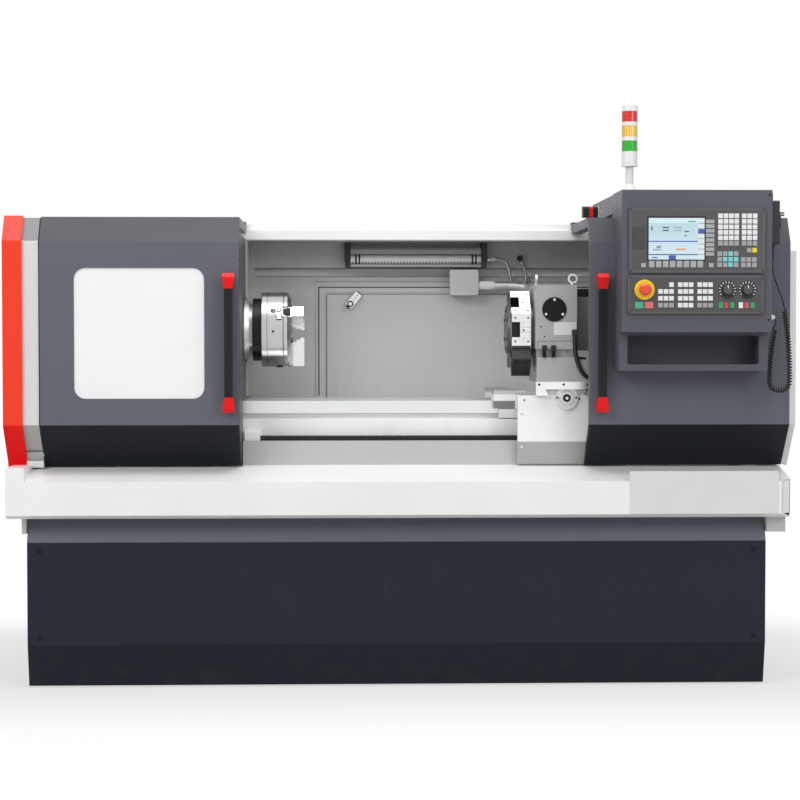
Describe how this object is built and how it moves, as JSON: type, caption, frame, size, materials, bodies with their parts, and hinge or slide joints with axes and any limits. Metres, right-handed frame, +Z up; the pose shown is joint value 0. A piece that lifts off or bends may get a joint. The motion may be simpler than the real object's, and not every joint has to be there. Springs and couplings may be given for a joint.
{
  "type": "cnc turning lathe",
  "caption": "Flat-bed turning lathe with sliding guard doors, a jaw chuck, a tool turret on a cross slide, a tailstock and an operator's box with a pendant.",
  "frame": {"origin": "on the floor under the spindle axis, at the middle of the levelling feet's row along the length", "axes": "+X along the spindle axis towards the tailstock, +Y away from the operator, +Z up"},
  "size_m": [2.506, 1.279, 1.823],
  "materials": {
    "housing_grey": "semi-gloss powder coat",
    "dark_base": "semi-gloss dark grey paint",
    "white_paint": "gloss white paint",
    "grey_inside": "satin grey paint",
    "red_paint": "gloss red paint",
    "castings": "light grey painted casting",
    "ground_ways": "ground and induction-hardened",
    "machined_steel": "machined",
    "dark_steel": "blackened",
    "black_plastic": "matt moulded",
    "handle_set": "red caps on a black grip",
    "panel_face": "fine matt film",
    "key_set": "smooth key caps",
    "screen_glass": "lit display",
    "window_pane": "clear polycarbonate",
    "lamp_glass": "ribbed clear tube",
    "lens_set": "green, amber and red lenses",
    "white_plastic": "smooth",
    "flexible_steel": "corrugated conduit",
    "black_cord": "smooth rubber",
    "belt_rubber": "ribbed",
    "button_red": "smooth",
    "cabinet_paint": "light grey powder coat",
    "motor_paint": "black motor enamel"
  },
  "bodies": {
    "base": {"base_frame": "dark_base", "base_front_cover": "dark_base", "levelling_feet": "machined_steel", "chip_tray": "white_paint", "bed": "castings", "headstock_casting": "castings", "spindle_motor": "motor_paint", "drive_belt": "belt_rubber", "headstock_guard": "white_paint", "headstock_partition": "dark_base", "left_end_guard": "white_paint", "red_end_trim": "red_paint", "right_end_guard": "white_paint", "top_guide_rail": "white_paint", "rear_splash_guard": "grey_inside", "lamp_housing": "black_plastic", "lamp_tube": "lamp_glass", "lamp_conduit": "flexible_steel", "electrical_cabinet": "cabinet_paint", "z_servo_motor": "motor_paint"},
    "spindle": {"spindle": "dark_steel", "chuck_body": "machined_steel"},
    "jaw_1": {"chuck_jaw_1": "machined_steel"},
    "jaw_2": {"chuck_jaw_2": "machined_steel"},
    "jaw_3": {"chuck_jaw_3": "machined_steel"},
    "motor_shaft": {"motor_pulley": "machined_steel"},
    "cabinet_door": {"cabinet_door": "cabinet_paint"},
    "latch": {"panel_latch": "machined_steel"},
    "left_door": {"left_door": "housing_grey", "left_window": "window_pane", "left_handle": "handle_set"},
    "right_door": {"right_door": "housing_grey", "right_handle": "handle_set", "control_box": "housing_grey", "operator_unit": "panel_face", "operator_screen": "screen_glass", "machine_panel": "panel_face", "key_caps": "key_set", "signal_tower": "white_plastic", "signal_lenses": "lens_set", "pendant_body": "black_plastic", "pendant_cord": "black_cord"},
    "estop": {"estop_button": "button_red"},
    "feed_knob": {"feed_override_knob": "black_plastic"},
    "speed_knob": {"spindle_override_knob": "black_plastic"},
    "pendant_wheel": {"pendant_wheel": "black_plastic"},
    "carriage": {"saddle": "white_paint", "apron": "white_paint", "carriage_rear_set": "castings", "turret_conduit": "flexible_steel"},
    "cross_slide": {"cross_slide": "machined_steel", "turret_housing": "white_paint", "turret_fittings": "black_plastic", "turret_hose": "flexible_steel"},
    "turret": {"turret_disc": "machined_steel", "boring_holder": "dark_steel"},
    "screw": {"z_ballscrew": "machined_steel"},
    "tailstock": {"tailstock_body": "castings"},
    "quill": {"tailstock_quill": "machined_steel"},
    "handwheel": {"quill_handwheel": "machined_steel"}
  },
  "joints": [
    {"name": "left_door_slide", "type": "slide", "parent": "base", "child": "left_door", "axis": [1, 0, 0], "range_m": [0, 0.55]},
    {"name": "right_door_slide", "type": "slide", "parent": "base", "child": "right_door", "axis": [-1, 0, 0], "range_m": [0, 0.55]},
    {"name": "spindle_spin", "type": "hinge", "parent": "base", "child": "spindle", "pos_m": [-0.7, 0, 1.13], "axis": [1, 0, 0], "continuous": true},
    {"name": "jaw_1_slide", "type": "slide", "parent": "spindle", "child": "jaw_1", "axis": [0, -0.866, 0.5], "range_m": [-0.012, 0.02]},
    {"name": "jaw_2_slide", "type": "slide", "parent": "spindle", "child": "jaw_2", "axis": [0, 0, -1], "range_m": [-0.012, 0.02]},
    {"name": "jaw_3_slide", "type": "slide", "parent": "spindle", "child": "jaw_3", "axis": [0, 0.866, 0.5], "range_m": [-0.012, 0.02]},
    {"name": "motor_spin", "type": "hinge", "parent": "base", "child": "motor_shaft", "pos_m": [-1, 0, 0.332], "axis": [1, 0, 0], "continuous": true},
    {"name": "carriage_travel", "type": "slide", "parent": "base", "child": "carriage", "axis": [1, 0, 0], "range_m": [-0.65, 0.06]},
    {"name": "screw_spin", "type": "hinge", "parent": "base", "child": "screw", "pos_m": [0, -0.226, 0.766], "axis": [1, 0, 0], "continuous": true},
    {"name": "cross_travel", "type": "slide", "parent": "carriage", "child": "cross_slide", "axis": [0, 1, 0], "range_m": [-0.055, 0.08], "deforming": ["turret_conduit"]},
    {"name": "turret_index", "type": "hinge", "parent": "cross_slide", "child": "turret", "pos_m": [0.4, -0.163, 1.13], "axis": [1, 0, 0], "continuous": true},
    {"name": "tailstock_slide", "type": "slide", "parent": "base", "child": "tailstock", "axis": [1, 0, 0], "range_m": [-0.06, 0.02]},
    {"name": "quill_slide", "type": "slide", "parent": "tailstock", "child": "quill", "axis": [-1, 0, 0], "range_m": [-0.04, 0.06]},
    {"name": "handwheel_spin", "type": "hinge", "parent": "tailstock", "child": "handwheel", "pos_m": [1.14, 0, 1.13], "axis": [1, 0, 0], "range_deg": [-4320, 2880]},
    {"name": "estop_push", "type": "slide", "parent": "right_door", "child": "estop", "axis": [0, 1, 0], "range_m": [0, 0.006], "stiffness_N_per_m": 1500},
    {"name": "feed_override_turn", "type": "hinge", "parent": "right_door", "child": "feed_knob", "pos_m": [1.007, -0.6, 1.252], "axis": [0, -1, 0], "range_deg": [-135, 135]},
    {"name": "speed_override_turn", "type": "hinge", "parent": "right_door", "child": "speed_knob", "pos_m": [1.069, -0.6, 1.252], "axis": [0, -1, 0], "range_deg": [-135, 135]},
    {"name": "pendant_wheel_turn", "type": "hinge", "parent": "right_door", "child": "pendant_wheel", "pos_m": [1.18, -0.52, 1.466], "axis": [1, 0, 0], "continuous": true},
    {"name": "cabinet_door_hinge", "type": "hinge", "parent": "base", "child": "cabinet_door", "pos_m": [-1.099, 0.62, 0.75], "axis": [0, 0, 1], "range_deg": [0, 110]},
    {"name": "latch_turn", "type": "hinge", "parent": "base", "child": "latch", "pos_m": [-0.148, 0.24, 1.219], "axis": [0, 1, 0], "range_deg": [-40, 50]}
  ],
  "couplings": [
    {"joint": "jaw_2_slide", "follows": "jaw_1_slide", "ratio": 1},
    {"joint": "jaw_3_slide", "follows": "jaw_1_slide", "ratio": 1},
    {"joint": "motor_spin", "follows": "spindle_spin", "ratio": 1.5323},
    {"joint": "screw_spin", "follows": "carriage_travel", "rad_per_m": 1047.2},
    {"joint": "quill_slide", "follows": "handwheel_spin", "m_per_rad": -0.00079577}
  ]
}
